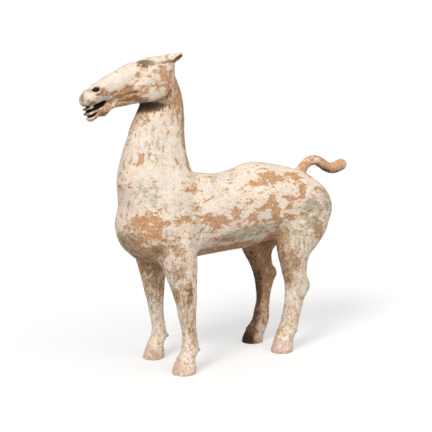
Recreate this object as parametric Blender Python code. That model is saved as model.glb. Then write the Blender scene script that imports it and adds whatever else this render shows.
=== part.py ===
"""Painted pottery horse, standing, fired in one piece: body, neck, head, four legs, ears and tail.

The horse faces -Y, its left side is +X, and it stands on the ground at z = 0. Sizes are in
millimetres, turned into metres by MM. They are measured from the middle of the four hooves.
The clay is laid up as tapered tubes, fused into one skin, softened where limbs meet the
body, and then cut: the flat soles, the slots of the open mouth, the nostrils and the ears.
"""

import math

import bmesh
import bpy
import numpy as np
from mathutils import Matrix, Vector

MM = 0.001

# Driving dimensions
HOOF_RADIUS = 17.7
TOE_LEAN = 0.2  # how far the toes lean forward for each mm down
LEFT_FRONT_HOOF = (50, -101)
RIGHT_FRONT_HOOF = (-52, -96.5)
LEFT_HIND_HOOF = (38, 104.5)
RIGHT_HIND_HOOF = (-40, 100)
TAIL_RADIUS = 9.3
CLAY_STEP = 2.2  # size of the cells that fuse the tubes into one skin
FINE_FACES = 15600  # triangles at which the head is left alone
FACES = 8400  # triangles of the finished skin, before the cuts

# Barrel, from inside the breast to the rump: y, top z, bottom z, half width, z of the widest place
BARREL = (
    (-150, 296, 200, 42, 248),
    (-115, 312, 182, 56, 246),
    (-70, 316, 176, 62.5, 242),
    (-35, 311, 177.5, 64.5, 240),
    (0, 308, 179.5, 64, 240),
    (36, 315.5, 180.5, 62.5, 242),
    (66, 324, 185.5, 61.5, 246),
    (105, 318.5, 191, 61.5, 248),
    (142, 310.5, 193, 60, 248),
    (174, 299, 194, 55, 246),
    (202, 281, 198, 44, 242),
    (220, 262, 208, 28, 238),
)

# Breast and neck, from between the front legs up to the poll: z, front y, back y, half width
NECK = (
    (176, -150, -60, 36),
    (187, -164, -52, 47),
    (202, -179.5, -46, 55),
    (220, -187.5, -42, 61),
    (240, -189.5, -38, 62.5),
    (262, -183.5, -38, 61),
    (280, -184, -42, 58.5),
    (300, -186.5, -53, 53),
    (322, -185, -64, 45.5),
    (345, -179.5, -70.5, 38.5),
    (370, -171.3, -73.3, 33),
    (395, -162, -72, 28),
    (420, -149, -72.5, 24.5),
    (445, -138, -78, 22.5),
    (466, -128, -88, 21.5),
    (482, -120, -100, 19),
)

# Skull and upper jaw, from the poll to the lip: y, top z, bottom z, half width, z of the widest place
SKULL = (
    (-92, 490, 470, 12, 480),
    (-100, 496, 454, 20, 474),
    (-114, 497.5, 437, 25, 468),
    (-132, 495.5, 430, 27, 466),
    (-150, 490.3, 428, 27, 466),
    (-166, 486.5, 428, 24.5, 464),
    (-184, 478.5, 427.5, 20.5, 458),
    (-203, 469, 428, 18, 450),
    (-220, 460, 427, 18, 444),
    (-234, 451, 424.5, 18, 440),
    (-243, 444, 422.5, 15, 436),
    (-249.5, 437.5, 424, 9, 431),
)

# Lower jaw, from under the cheeks to the lip: y, top z, bottom z, half width
LOWER_JAW = (
    (-136, 445, 427, 15),
    (-160, 438, 424.5, 13.5),
    (-180, 434, 421.5, 12.5),
    (-200, 431, 418, 12.5),
    (-208, 430, 410, 12.5),
    (-216, 430, 407.5, 12.5),
    (-223, 430, 407, 12),
    (-230, 429, 400, 11.5),
    (-236.5, 427, 397.8, 10),
    (-241.5, 425, 401.5, 8),
    (-246.5, 424, 412, 6),
)

# Front leg, down: z, y from the hoof, inward shift, half width, half depth
FRONT_LEG = (
    (235, -14, 14, 27, 38),
    (205, -9, 11, 26, 36),
    (178, -5.5, 8, 24, 32),
    (155, -2, 5, 22, 26.5),
    (133, 0.5, 2, 18.4, 21.4),
    (117, 2.5, 0, 16.8, 18.9),
    (106, 3.5, 0, 15.6, 16.8),
    (90, 4.7, 0, 14, 14.9),
    (73, 6.8, 0, 12.7, 13.2),
    (53, 9.6, 0, 12.4, 12.8),
    (40, 10.4, 0, 13.6, 14),
    (31, 7.2, 0, 14.4, 14.6),
    (23, 2, 0, 14, 14),
    (14, 0, 0, 15.5, 16),
)

# Left hind leg, down, in the same columns
LEFT_HIND_LEG = (
    (262, 44, 14, 29, 56),
    (232, 42, 6, 29, 60),
    (208, 39, 3, 27, 56),
    (185, 32.5, 1, 25, 45),
    (165, 23, 0, 22.5, 31.2),
    (150, 22.2, 0, 20.5, 26),
    (132, 24, 0, 19, 23),
    (115, 28.5, 0, 17.5, 22.6),
    (102, 29.3, 0, 17, 22.9),
    (90, 25, 0, 16, 18.5),
    (74, 21.2, 0, 15.4, 18),
    (55, 15.8, 0, 15.4, 17),
    (42, 12.8, 0, 15.6, 17.4),
    (33, 8, 0, 16.4, 18),
    (23, 3, 0, 15.8, 16.6),
    (14, 0, 0, 16.5, 18),
)

# Right hind leg, finer below the hock than the left one
RIGHT_HIND_LEG = (
    (262, 48, 14, 29, 56),
    (232, 46, 6, 29, 60),
    (208, 34, 3, 27, 55),
    (185, 20, 1, 25, 46.5),
    (165, 8.5, 0, 22.5, 31),
    (150, 11, 0, 20.5, 24.2),
    (134, 17.5, 0, 18.8, 21.8),
    (118, 22.4, 0, 16.8, 20.4),
    (105, 23, 0, 15, 18.8),
    (90, 21.6, 0, 13.5, 14.8),
    (74, 21, 0, 12.8, 13.4),
    (55, 18, 0, 13.4, 14.2),
    (40, 16, 0, 14.4, 15.4),
    (31, 11.5, 0, 15.4, 16.6),
    (22, 6, 0, 16, 17.5),
    (14, 2, 0, 16.8, 18.4),
)

# Hoof, down past the ground, where it is cut flat: z, share of the hoof's radius
HOOF = ((25, 0.72), (21, 0.85), (16, 0.94), (9, 1.02), (3, 1.06), (-6, 1.04))

# Tail, from the croup: y, z, share of the tail's radius
TAIL = (
    (158, 285, 1.2),
    (169, 301.5, 1.12),
    (179, 312.3, 1.0),
    (192.5, 319, 0.98),
    (206, 318.2, 1.0),
    (218.5, 311.8, 1.0),
    (231, 305, 1.0),
    (243, 302.4, 1.04),
    (254, 304.8, 1.06),
    (262, 307.3, 1.04),
    (265.5, 308.2, 0.92),
)

# How much lower the brow and ear sit on the right side
RIGHT_BROW_DROP = 2.5
RIGHT_EAR_DROP = 2

# Ridge over the eye, from the inner corner back: x, y, z, radius
BROW = (
    (16.5, -168, 482.5, 2),
    (15, -161, 486.2, 3),
    (15, -152, 488.2, 3.3),
    (17.5, -143, 487, 3),
    (21, -134, 483, 2),
)

# Ear, laid back: x, y, z of its root and tip, then shares of the way between them with the radius there
EAR_ROOT = (15.5, -113, 488)
EAR_TIP = (16.5, -80.5, 500.5)
EAR = ((-0.2, 7.5), (0.1, 8.8), (0.4, 8), (0.7, 6.4), (0.9, 4.2), (1, 2.2))

# Cheek, a flat pad on each side of the head: its outline as y, z, and how it domes as x, share of the outline
CHEEK = (
    (-172, 440),
    (-160, 430),
    (-143, 428),
    (-126, 432),
    (-113, 437.5),
    (-108.5, 447),
    (-110, 458),
    (-121, 466),
    (-139, 469),
    (-156, 465),
    (-168, 457),
    (-174, 449),
)
CHEEK_DOME = ((8, 1.0), (21, 1.0), (25.5, 0.95), (28, 0.8), (29.3, 0.5), (29.8, 0.15))

# The open mouth, seen from the side: y, z round each slot. The clay between them is teeth and gums.
UPPER_LIP_SLOT = (
    (-256, 420.6),
    (-249, 421.6),
    (-241, 423),
    (-236.5, 423.4),
    (-236.5, 421.6),
    (-241, 419.7),
    (-247.5, 418.2),
    (-256, 417.2),
)
MOUTH_SLOT = (
    (-256, 414.4),
    (-247, 415.8),
    (-240.5, 417.8),
    (-234.5, 420.4),
    (-232.5, 424.6),
    (-225, 428),
    (-217.5, 431.4),
    (-212, 430.8),
    (-212.3, 428.8),
    (-217, 424),
    (-225, 418.8),
    (-233, 415.8),
    (-240, 413),
    (-245, 411.4),
    (-256, 409),
)
LOWER_LIP_SLOT = (
    (-256, 407.6),
    (-242, 408.8),
    (-237, 410.6),
    (-231, 414),
    (-226.5, 416.4),
    (-228, 413),
    (-231, 409.2),
    (-235, 405.9),
    (-240.5, 404.6),
    (-256, 403.4),
)


def curve_through(rows, steps):
    """Rows of numbers joined by a Catmull-Rom curve, with some steps from each row to the next."""
    rows = np.array(rows, float)
    padded = np.vstack([2 * rows[0] - rows[1], rows, 2 * rows[-1] - rows[-2]])
    found = []
    for a, b, c, d in zip(padded, padded[1:], padded[2:], padded[3:]):
        for step in range(steps):
            t = step / steps
            found.append(
                b
                + 0.5 * t * (c - a)
                + t**2 * (a - 2.5 * b + 2 * c - 0.5 * d)
                + t**3 * (1.5 * b - 0.5 * a - 1.5 * c + 0.5 * d)
            )
    return found + [rows[-1]]


def oval(middle, side, rise, half_width, above, below, fullness=2.0, count=32):
    """A ring of points: half_width each way along side, above along rise and below against it."""
    middle, side, rise = Vector(middle), Vector(side), Vector(rise)
    ring = []
    for k in range(count):
        angle = 2 * math.pi * k / count
        c, s = math.cos(angle), math.sin(angle)
        across = half_width * math.copysign(abs(c) ** (2 / fullness), c)
        height = (above if s > 0 else below) * math.copysign(abs(s) ** (2 / fullness), s)
        ring.append(middle + side * across + rise * height)
    return ring


def add_tube(clay, rings):
    """A closed tube through rings of equal count."""
    rows = [[clay.verts.new(point * MM) for point in ring] for ring in rings]
    count = len(rows[0])
    faces = [clay.faces.new(rows[0]), clay.faces.new(rows[-1])]
    for low, high in zip(rows, rows[1:]):
        for k in range(count):
            n = (k + 1) % count
            faces.append(clay.faces.new((low[k], low[n], high[n], high[k])))
    bmesh.ops.recalc_face_normals(clay, faces=faces)


def add_lump(clay, middle, radii, turn=(0, 0, 0)):
    """An egg shaped lump, turned by angles in degrees about X, Y and Z."""
    made = bmesh.ops.create_icosphere(clay, subdivisions=3, radius=1)["verts"]
    place = Matrix.Translation(Vector(middle) * MM)
    for axis, angle in zip("XYZ", turn):
        place = place @ Matrix.Rotation(math.radians(angle), 4, axis)
    place = place @ Matrix.Diagonal(Vector(radii) * MM).to_4x4()
    bmesh.ops.transform(clay, matrix=place, verts=made)


def add_limb(clay, stations, squash=1.0, side=(1, 0, 0)):
    """A tube along stations of (middle, radius), with its rings square to its own path.

    squash is the share of the radius that the tube has along side.
    """
    side = Vector(side)
    rings = []
    for k, (middle, radius) in enumerate(stations):
        after = stations[min(k + 1, len(stations) - 1)][0]
        before = stations[max(k - 1, 0)][0]
        rise = (after - before).cross(side).normalized()
        rings.append(oval(middle, side, rise, radius * squash, radius, radius))
    add_tube(clay, rings)


def add_barrel(clay):
    rings = []
    for y, top, bottom, half, widest in curve_through(BARREL, 3):
        middle = (0, y, widest)
        rings.append(oval(middle, (1, 0, 0), (0, 0, 1), half, top - widest, widest - bottom, 2.15))
    add_tube(clay, rings)
    add_lump(clay, (0, 206, 235), (34, 22, 30))


def add_neck(clay):
    rings = []
    for z, front, back, half in curve_through(NECK, 3):
        widest = front + 0.56 * (back - front)
        middle = (0, widest, z)
        rings.append(oval(middle, (1, 0, 0), (0, 1, 0), half, back - widest, widest - front, 2.1))
    add_tube(clay, rings)


def add_leg(clay, table, hoof, girth=1.0, spread=1.0, lean=0.0):
    """A leg down to its hoof, which runs on under the ground and is cut there.

    girth thickens the leg, spread widens the hoof, and lean moves the leg back by that share
    of its height.
    """
    x, y = hoof
    out = math.copysign(1, x)
    rings = []
    for z, shift, inward, half, depth in curve_through(table, 3):
        middle = (x - out * inward, y + shift + lean * z, z)
        rings.append(oval(middle, (1, 0, 0), (0, 1, 0), half * girth, depth * girth, depth * girth))
    add_tube(clay, rings)
    rings = []
    for z, share in curve_through(HOOF, 2):
        radius = HOOF_RADIUS * spread * share
        middle = (x, y - TOE_LEAN * (12.5 - z), z)
        rings.append(oval(middle, (1, 0, 0), (0, 1, 0), radius, radius, radius, 2.2))
    add_tube(clay, rings)


def add_tuft(clay, hoof, root, tip):
    """The pointed lock of hair behind a fetlock. root and tip are y, z, with y from the hoof."""
    x, y = hoof
    stations = []
    for t, radius in ((0, 9), (0.4, 6.4), (0.75, 4.2), (1, 2.4)):
        back = root[0] + t * (tip[0] - root[0])
        height = root[1] + t**0.7 * (tip[1] - root[1])
        stations.append((Vector((x, y + back, height)), radius))
    add_limb(clay, stations)


def add_hock(clay, hoof, back, height):
    """The point of a hock."""
    x, y = hoof
    add_lump(clay, (x, y + back - 9, height), (7.5, 10.5, 15), (12, 0, 0))


def add_tail(clay):
    stations = [(Vector((0, y, z)), TAIL_RADIUS * share) for y, z, share in curve_through(TAIL, 3)]
    add_limb(clay, stations)
    add_lump(clay, stations[-1][0] - Vector((0, 3, 0)), (TAIL_RADIUS * 1.12, 10, TAIL_RADIUS * 1.15))


def add_jaws(clay):
    rings = []
    for y, top, bottom, half, widest in curve_through(SKULL, 3):
        middle = (0, y, widest)
        rings.append(oval(middle, (1, 0, 0), (0, 0, 1), half, top - widest, widest - bottom, 2.3))
    add_tube(clay, rings)
    rings = []
    for y, top, bottom, half in curve_through(LOWER_JAW, 3):
        middle = 0.5 * (top + bottom)
        rise = top - middle
        rings.append(oval((0, y, middle), (1, 0, 0), (0, 0, 1), half, rise, rise, 2.4))
    add_tube(clay, rings)


def add_face(clay):
    """Cheeks, brows, eyes, nostril rims and ears on both sides, and the chin."""
    for out, drop in ((1, 0), (-1, RIGHT_BROW_DROP)):
        add_cheek(clay, out)
        brow = curve_through(BROW, 2)
        add_limb(clay, [(Vector((out * x, y, z - drop)), radius) for x, y, z, radius in brow])
        add_lump(clay, (out * 18.5, -156, 481 - drop), (5.6, 7, 4.2), (14, 0, 0))
        add_lump(clay, (out * 12, -230, 444), (7.5, 9.5, 8))
        add_lump(clay, (out * 15, -188, 439.5), (4, 28, 3.5), (-6, 0, 0))
        add_ear(clay, out)
    chin = ((-219, 414, 7), (-213, 410, 4.6), (-209.5, 407.6, 2.6), (-208, 406.8, 1.4))
    add_limb(clay, [(Vector((0, y, z)), radius) for y, z, radius in chin], 1.7)


def add_cheek(clay, out):
    middle = np.mean(CHEEK, axis=0)
    outline = curve_through(CHEEK + CHEEK[:1], 2)[:-1]
    rings = []
    for x, share in curve_through(CHEEK_DOME, 2):
        rings.append([Vector((out * x, *(middle + share * (place - middle)))) for place in outline])
    add_tube(clay, rings)


def add_ear(clay, out):
    side = Vector((out, 1, 1))
    lower = Vector((0, 0, RIGHT_EAR_DROP if out < 0 else 0))
    root, tip = Vector(EAR_ROOT) * side - lower, Vector(EAR_TIP) * side - lower
    rise = Vector((0, -0.3, 1)).normalized()
    rings = []
    for t, radius in curve_through(EAR, 2):
        middle = root + (tip - root) * t
        rings.append(oval(middle, (1, 0, 0), rise, radius * 0.8, radius, radius))
    add_tube(clay, rings)


def linked(name, mesh):
    thing = bpy.data.objects.new(name, mesh)
    bpy.context.scene.collection.objects.link(thing)
    return thing


def mesh_of(name, shape):
    mesh = bpy.data.meshes.new(name)
    shape.to_mesh(mesh)
    shape.free()
    return mesh


def evaluated_mesh(thing):
    """The mesh of an object as its modifiers leave it."""
    graph = bpy.context.evaluated_depsgraph_get()
    return bpy.data.meshes.new_from_object(thing.evaluated_get(graph))


def fused(clay):
    """The tubes as one skin, softened and thinned to few faces, more of them on the head."""
    rough = linked("clay", mesh_of("clay", clay))
    remesh = rough.modifiers.new("fuse", "REMESH")
    remesh.mode = "VOXEL"
    remesh.voxel_size = CLAY_STEP * MM
    skin = evaluated_mesh(rough)
    bpy.data.objects.remove(rough)
    soften(skin)
    smooth = linked("smooth", skin)
    head = smooth.vertex_groups.new(name="head")
    head.add([v.index for v in skin.vertices if is_head(v.co)], 1, "REPLACE")
    thin = smooth.modifiers.new("all_over", "DECIMATE")
    thin.ratio = FINE_FACES / (2 * len(skin.polygons))
    thin = smooth.modifiers.new("all_but_head", "DECIMATE")
    thin.ratio = FACES / FINE_FACES
    thin.vertex_group = head.name
    thin.invert_vertex_group = True
    skin = evaluated_mesh(smooth)
    bpy.data.objects.remove(smooth)
    return skin


def is_head(point):
    return point.z > 400 * MM and point.y < -75 * MM


def ramp(value, start, end):
    """0 up to start, 1 from end on."""
    return min(1, max(0, (value - start) / (end - start)))


def softness(point):
    """How much the skin is smoothed here, from 0 on the head, hooves and tail to 1 on the body."""
    y, z = point.y / MM, point.z / MM
    head = ramp(z, 385, 425) * ramp(-y, 100, 115)
    ear = ramp(z, 482, 490)
    foot = ramp(-z, -60, -30)
    tail = ramp(y, 170, 185) * ramp(z, 285, 300)
    return 1 - max(head, ear, foot, tail)


def soften(skin):
    mesh = bmesh.new()
    mesh.from_mesh(skin)
    everywhere = list(mesh.verts)
    joins = [v for v in everywhere if softness(v.co) > 0.05]
    body = [v for v in everywhere if softness(v.co) > 0.5]
    for verts, times in ((everywhere, 2), (joins, 8), (body, 16)):
        for _ in range(times):
            bmesh.ops.smooth_vert(
                mesh, verts=verts, factor=0.5, use_axis_x=True, use_axis_y=True, use_axis_z=True
            )
    mesh.to_mesh(skin)
    mesh.free()


def prism(shape, outline, half_width):
    """A slab across the horse, with its side outline given as y, z."""
    faces = []
    left = [shape.verts.new(Vector((half_width, y, z)) * MM) for y, z in outline]
    right = [shape.verts.new(Vector((-half_width, y, z)) * MM) for y, z in outline]
    faces += [shape.faces.new(left), shape.faces.new(right)]
    for k in range(len(outline)):
        n = (k + 1) % len(outline)
        faces.append(shape.faces.new((left[k], left[n], right[n], right[k])))
    bmesh.ops.recalc_face_normals(shape, faces=faces)


def hidden_tool(name, shape, centre):
    """A cutter, or what a cutter leaves standing."""
    tool = linked(name, mesh_of(name, shape))
    tool.hide_render = True
    tool.display_type = "WIRE"
    tool.parent = centre
    return tool


def cut(thing, tool):
    away = thing.modifiers.new(tool.name, "BOOLEAN")
    away.operation = "DIFFERENCE"
    away.solver = "EXACT"
    away.object = tool


def mouth_cutter(centre):
    """Three slots, open at the front and both sides, round the clay in the middle of the mouth."""
    slots = bmesh.new()
    for outline in (UPPER_LIP_SLOT, MOUTH_SLOT, LOWER_LIP_SLOT):
        prism(slots, outline, 30)
    tongue = bmesh.new()
    add_lump(tongue, (0, -216, 417), (4, 27, 22))
    slots = hidden_tool("mouth_slots", slots, centre)
    cut(slots, hidden_tool("tongue", tongue, centre))
    return slots


def nostril_cutter(centre):
    holes = bmesh.new()
    for out in (1, -1):
        add_lump(holes, (out * 17, -233, 449.4), (10, 6.8, 5.4), (24, 0, out * 8))
    return hidden_tool("nostril_holes", holes, centre)


def ear_cutter(centre):
    """The hollow of each ear, open to the back and outwards."""
    hollows = bmesh.new()
    for out in (1, -1):
        add_lump(hollows, (out * 22, -93, 492.5), (8, 13, 3.8), (31, 0, out * 12))
    return hidden_tool("ear_hollows", hollows, centre)


def ground_cutter(centre):
    """Everything below z = 0, so that each hoof has a flat sole."""
    below = bmesh.new()
    bmesh.ops.create_cube(below, size=1)
    bmesh.ops.scale(below, vec=Vector((300, 500, 60)) * MM, verts=below.verts)
    bmesh.ops.translate(below, vec=Vector((0, 0, -30)) * MM, verts=below.verts)
    return hidden_tool("below_ground", below, centre)


def centre_on_ground(thing, centre):
    """Moves the shared parent so that the middle of the finished shape stands over the origin."""
    points = [v.co for v in evaluated_mesh(thing).vertices]
    for axis in (0, 1):
        values = [point[axis] for point in points]
        centre.location[axis] = -0.5 * (min(values) + max(values))


def painted_clay():
    material = bpy.data.materials.new("painted_earthenware")
    material.use_nodes = True
    shader = material.node_tree.nodes["Principled BSDF"]
    shader.inputs["Base Color"].default_value = (0.72, 0.56, 0.42, 1)
    shader.inputs["Roughness"].default_value = 0.9
    shader.inputs["Metallic"].default_value = 0
    return material


def main():
    for thing in list(bpy.data.objects):
        bpy.data.objects.remove(thing)
    clay = bmesh.new()
    add_barrel(clay)
    add_neck(clay)
    add_leg(clay, FRONT_LEG, LEFT_FRONT_HOOF)
    add_leg(clay, FRONT_LEG, RIGHT_FRONT_HOOF, girth=0.96, spread=0.91, lean=-0.018)
    add_leg(clay, LEFT_HIND_LEG, LEFT_HIND_HOOF, spread=0.97)
    add_leg(clay, RIGHT_HIND_LEG, RIGHT_HIND_HOOF, spread=0.97)
    for hoof in (LEFT_FRONT_HOOF, RIGHT_FRONT_HOOF):
        add_tuft(clay, hoof, (9, 42), (30, 33))
    for hoof in (LEFT_HIND_HOOF, RIGHT_HIND_HOOF):
        add_tuft(clay, hoof, (11, 41), (33, 30))
    add_hock(clay, LEFT_HIND_HOOF, 58, 111)
    add_hock(clay, RIGHT_HIND_HOOF, 51, 120)
    add_tail(clay)
    add_jaws(clay)
    add_face(clay)

    centre = linked("ground_centre", None)
    horse = linked("pottery_horse", fused(clay))
    horse.parent = centre
    horse.data.materials.append(painted_clay())
    for cutter in (ground_cutter, mouth_cutter, nostril_cutter, ear_cutter):
        cut(horse, cutter(centre))
    centre_on_ground(horse, centre)


main()
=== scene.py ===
"""Painted pottery horse, standing, in worn cream slip over orange earthenware.

The horse is one fired piece, so it is one mesh here too. It is laid up from the same tapered
tubes as the solid of the frame, fused much finer, carved, and then weathered: the slip flakes
off the clay, dirt lies in the hollows together with painted shade there, and small chips and pits
break the surface. Sizes are in millimetres from the middle of the four hooves, turned into
metres by MM. The horse faces -Y, and its left side is +X.
"""

import math

import bmesh
import bpy
import numpy as np
from mathutils import Matrix, Vector, noise
from mathutils.bvhtree import BVHTree


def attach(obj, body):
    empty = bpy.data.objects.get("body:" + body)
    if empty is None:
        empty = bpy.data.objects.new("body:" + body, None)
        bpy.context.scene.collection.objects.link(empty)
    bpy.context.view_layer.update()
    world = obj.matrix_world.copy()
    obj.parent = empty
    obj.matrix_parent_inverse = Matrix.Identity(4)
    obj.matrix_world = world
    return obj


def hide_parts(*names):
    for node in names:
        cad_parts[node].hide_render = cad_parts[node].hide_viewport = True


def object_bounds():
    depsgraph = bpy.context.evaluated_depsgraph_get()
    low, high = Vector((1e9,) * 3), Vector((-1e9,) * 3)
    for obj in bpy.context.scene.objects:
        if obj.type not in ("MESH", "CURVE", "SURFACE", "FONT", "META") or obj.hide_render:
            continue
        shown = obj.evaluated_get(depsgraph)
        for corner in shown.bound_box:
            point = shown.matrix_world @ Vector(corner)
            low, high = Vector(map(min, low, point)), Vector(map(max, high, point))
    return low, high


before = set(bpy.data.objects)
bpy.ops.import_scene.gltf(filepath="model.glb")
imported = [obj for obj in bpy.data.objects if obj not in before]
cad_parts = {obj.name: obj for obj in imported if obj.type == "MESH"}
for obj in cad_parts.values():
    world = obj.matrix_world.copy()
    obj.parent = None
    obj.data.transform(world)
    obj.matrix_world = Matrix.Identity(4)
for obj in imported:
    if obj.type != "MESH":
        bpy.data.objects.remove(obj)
cad_low, cad_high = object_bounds()

MM = 0.001

# Directions
LEFT = (1, 0, 0)
BACK = (0, 1, 0)
UP = (0, 0, 1)

# Hooves: radius, how far the toes lean forward for each mm below the middle, and x, y of each
HOOF_RADIUS = 17.7
HOOF_MIDDLE = 12.5
TOE_LEAN = 0.2
LEFT_FRONT_HOOF = (50, -101)
RIGHT_FRONT_HOOF = (-52, -96.5)
LEFT_HIND_HOOF = (38, 104.5)
RIGHT_HIND_HOOF = (-40, 100)
HOOVES = (LEFT_FRONT_HOOF, RIGHT_FRONT_HOOF, LEFT_HIND_HOOF, RIGHT_HIND_HOOF)
TAIL_RADIUS = 9.3

# Points in a ring of clay, then cells and triangles of the skin
RING_POINTS = 48
ROUGH_STEP = 1.6
FINE_STEP = 0.95
TRIANGLES = 190000

# How far inside the solid's box the skin ends
EDGE = 0.02

# Barrel, from inside the breast to the rump: y, top z, bottom z, half width, z of the widest place
BARREL = (
    (-150, 296, 200, 42, 248),
    (-115, 312, 182, 56, 246),
    (-70, 316, 176, 62.5, 242),
    (-35, 311, 177.5, 64.5, 240),
    (0, 308, 179.5, 64, 240),
    (36, 315.5, 180.5, 62.5, 242),
    (66, 324, 185.5, 61.5, 246),
    (105, 318.5, 191, 61.5, 248),
    (142, 310.5, 193, 60, 248),
    (174, 299, 194, 55, 246),
    (202, 281, 198, 44, 242),
    (220, 262, 208, 28, 238),
)

# Breast and neck, from between the front legs up to the poll: z, front y, back y, half width
NECK = (
    (176, -150, -60, 36),
    (187, -164, -52, 47),
    (202, -179.5, -46, 55),
    (220, -187.5, -42, 61),
    (240, -189.5, -38, 62.5),
    (262, -183.5, -38, 61),
    (280, -184, -42, 58.5),
    (300, -186.5, -53, 53),
    (322, -185, -64, 45.5),
    (345, -179.5, -70.5, 38.5),
    (370, -171.3, -73.3, 33),
    (395, -162, -72, 28),
    (420, -149, -72.5, 24.5),
    (445, -138, -78, 22.5),
    (466, -128, -88, 21.5),
    (482, -120, -100, 19),
)

# Skull and upper jaw, from the poll to the lip: y, top z, bottom z, half width, z of the widest place
SKULL = (
    (-92, 490, 470, 12, 480),
    (-100, 496, 454, 20, 474),
    (-114, 497.5, 437, 25, 468),
    (-132, 495.5, 430, 27, 466),
    (-150, 490.3, 428, 27, 466),
    (-166, 486.5, 428, 24.5, 464),
    (-184, 478.5, 427.5, 20.5, 458),
    (-203, 469, 428, 18, 450),
    (-220, 460, 427, 18, 444),
    (-234, 451, 424.5, 18, 440),
    (-243, 444, 422.5, 15, 436),
    (-249.5, 437.5, 424, 9, 431),
)

# Lower jaw, from under the cheeks to the lip: y, top z, bottom z, half width
LOWER_JAW = (
    (-136, 445, 427, 15),
    (-160, 438, 424.5, 13.5),
    (-180, 434, 421.5, 12.5),
    (-200, 431, 418, 12.5),
    (-208, 430, 410, 12.5),
    (-216, 430, 407.5, 12.5),
    (-223, 430, 407, 12),
    (-230, 429, 400, 11.5),
    (-236.5, 427, 397.8, 10),
    (-241.5, 425, 401.5, 8),
    (-246.5, 424, 412, 6),
)

# Front leg, down: z, y from the hoof, inward shift, half width, half depth
FRONT_LEG = (
    (235, -14, 14, 27, 38),
    (205, -9, 11, 26, 36),
    (178, -5.5, 8, 24, 32),
    (155, -2, 5, 22, 26.5),
    (133, 0.5, 2, 18.4, 21.4),
    (117, 2.5, 0, 16.8, 18.9),
    (106, 3.5, 0, 15.6, 16.8),
    (90, 4.7, 0, 14, 14.9),
    (73, 6.8, 0, 12.7, 13.2),
    (53, 9.6, 0, 12.4, 12.8),
    (40, 10.4, 0, 13.6, 14),
    (31, 7.2, 0, 14.4, 14.6),
    (23, 2, 0, 14, 14),
    (14, 0, 0, 15.5, 16),
)

# Left hind leg, down, in the same columns
LEFT_HIND_LEG = (
    (262, 44, 14, 29, 56),
    (232, 42, 6, 29, 60),
    (208, 39, 3, 27, 56),
    (185, 32.5, 1, 25, 45),
    (165, 23, 0, 22.5, 31.2),
    (150, 22.2, 0, 20.5, 26),
    (132, 24, 0, 19, 23),
    (115, 28.5, 0, 17.5, 22.6),
    (102, 29.3, 0, 17, 22.9),
    (90, 25, 0, 16, 18.5),
    (74, 21.2, 0, 15.4, 18),
    (55, 15.8, 0, 15.4, 17),
    (42, 12.8, 0, 15.6, 17.4),
    (33, 8, 0, 16.4, 18),
    (23, 3, 0, 15.8, 16.6),
    (14, 0, 0, 16.5, 18),
)

# Right hind leg, finer below the hock than the left one
RIGHT_HIND_LEG = (
    (262, 48, 14, 29, 56),
    (232, 46, 6, 29, 60),
    (208, 34, 3, 27, 55),
    (185, 20, 1, 25, 46.5),
    (165, 8.5, 0, 22.5, 31),
    (150, 11, 0, 20.5, 24.2),
    (134, 17.5, 0, 18.8, 21.8),
    (118, 22.4, 0, 16.8, 20.4),
    (105, 23, 0, 15, 18.8),
    (90, 21.6, 0, 13.5, 14.8),
    (74, 21, 0, 12.8, 13.4),
    (55, 18, 0, 13.4, 14.2),
    (40, 16, 0, 14.4, 15.4),
    (31, 11.5, 0, 15.4, 16.6),
    (22, 6, 0, 16, 17.5),
    (14, 2, 0, 16.8, 18.4),
)

# Height of the edge of the hair at the side of a hoof, the gap between the folds of skin over it and
# the gap between its growth rings
HAIR_EDGE = 18.5
FOLD_GAP = 6.5
RING_GAP = 4.2

# Hoof, down past the ground, where it is cut flat: z, share of the hoof's radius
HOOF = ((25, 0.72), (21, 0.85), (16, 0.94), (9, 1.02), (3, 1.06), (-6, 1.04))

# Tail, from the croup: y, z, share of the tail's radius
TAIL = (
    (158, 285, 1.2),
    (169, 301.5, 1.12),
    (179, 312.3, 1.0),
    (192.5, 319, 0.98),
    (206, 318.2, 1.0),
    (218.5, 311.8, 1.0),
    (231, 305, 1.0),
    (243, 302.8, 1.1),
    (254, 305.4, 1.14),
    (261, 307.2, 1.1),
    (265.5, 308.2, 0.94),
)

# How much lower the brow and ear sit on the right side
RIGHT_BROW_DROP = 2.5
RIGHT_EAR_DROP = 2

# Ridge over the eye, from the inner corner back: x, y, z, radius
BROW = (
    (16.5, -168, 482.5, 2),
    (15, -161, 486.2, 3),
    (15, -152, 488.2, 3.3),
    (17.5, -143, 487, 3),
    (21, -134, 483, 2),
)

# Ear, laid back: x, y, z of its root and tip, then share of the way between them and radius there
EAR_ROOT = (15.5, -113, 488)
EAR_TIP = (16.5, -80.5, 500.5)
EAR = ((-0.2, 7.5), (0.1, 8.8), (0.4, 8), (0.7, 6.4), (0.9, 4.2), (1, 2.2))

# Cheek, a flat pad on each side of the head: its outline as y, z, then its dome as x, share of the
# outline
CHEEK = (
    (-172, 440),
    (-160, 430),
    (-143, 428),
    (-126, 432),
    (-113, 437.5),
    (-108.5, 447),
    (-110, 458),
    (-121, 466),
    (-139, 469),
    (-156, 465),
    (-168, 457),
    (-174, 449),
)
CHEEK_DOME = ((8, 1.0), (21, 1.0), (25.5, 0.95), (28, 0.8), (29.3, 0.5), (29.8, 0.15))

# Ridge down the middle of the chin: y, z, radius
CHIN = ((-219, 414, 7), (-213, 410, 4.6), (-209.5, 407.6, 2.6), (-208, 406.8, 1.4))

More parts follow.
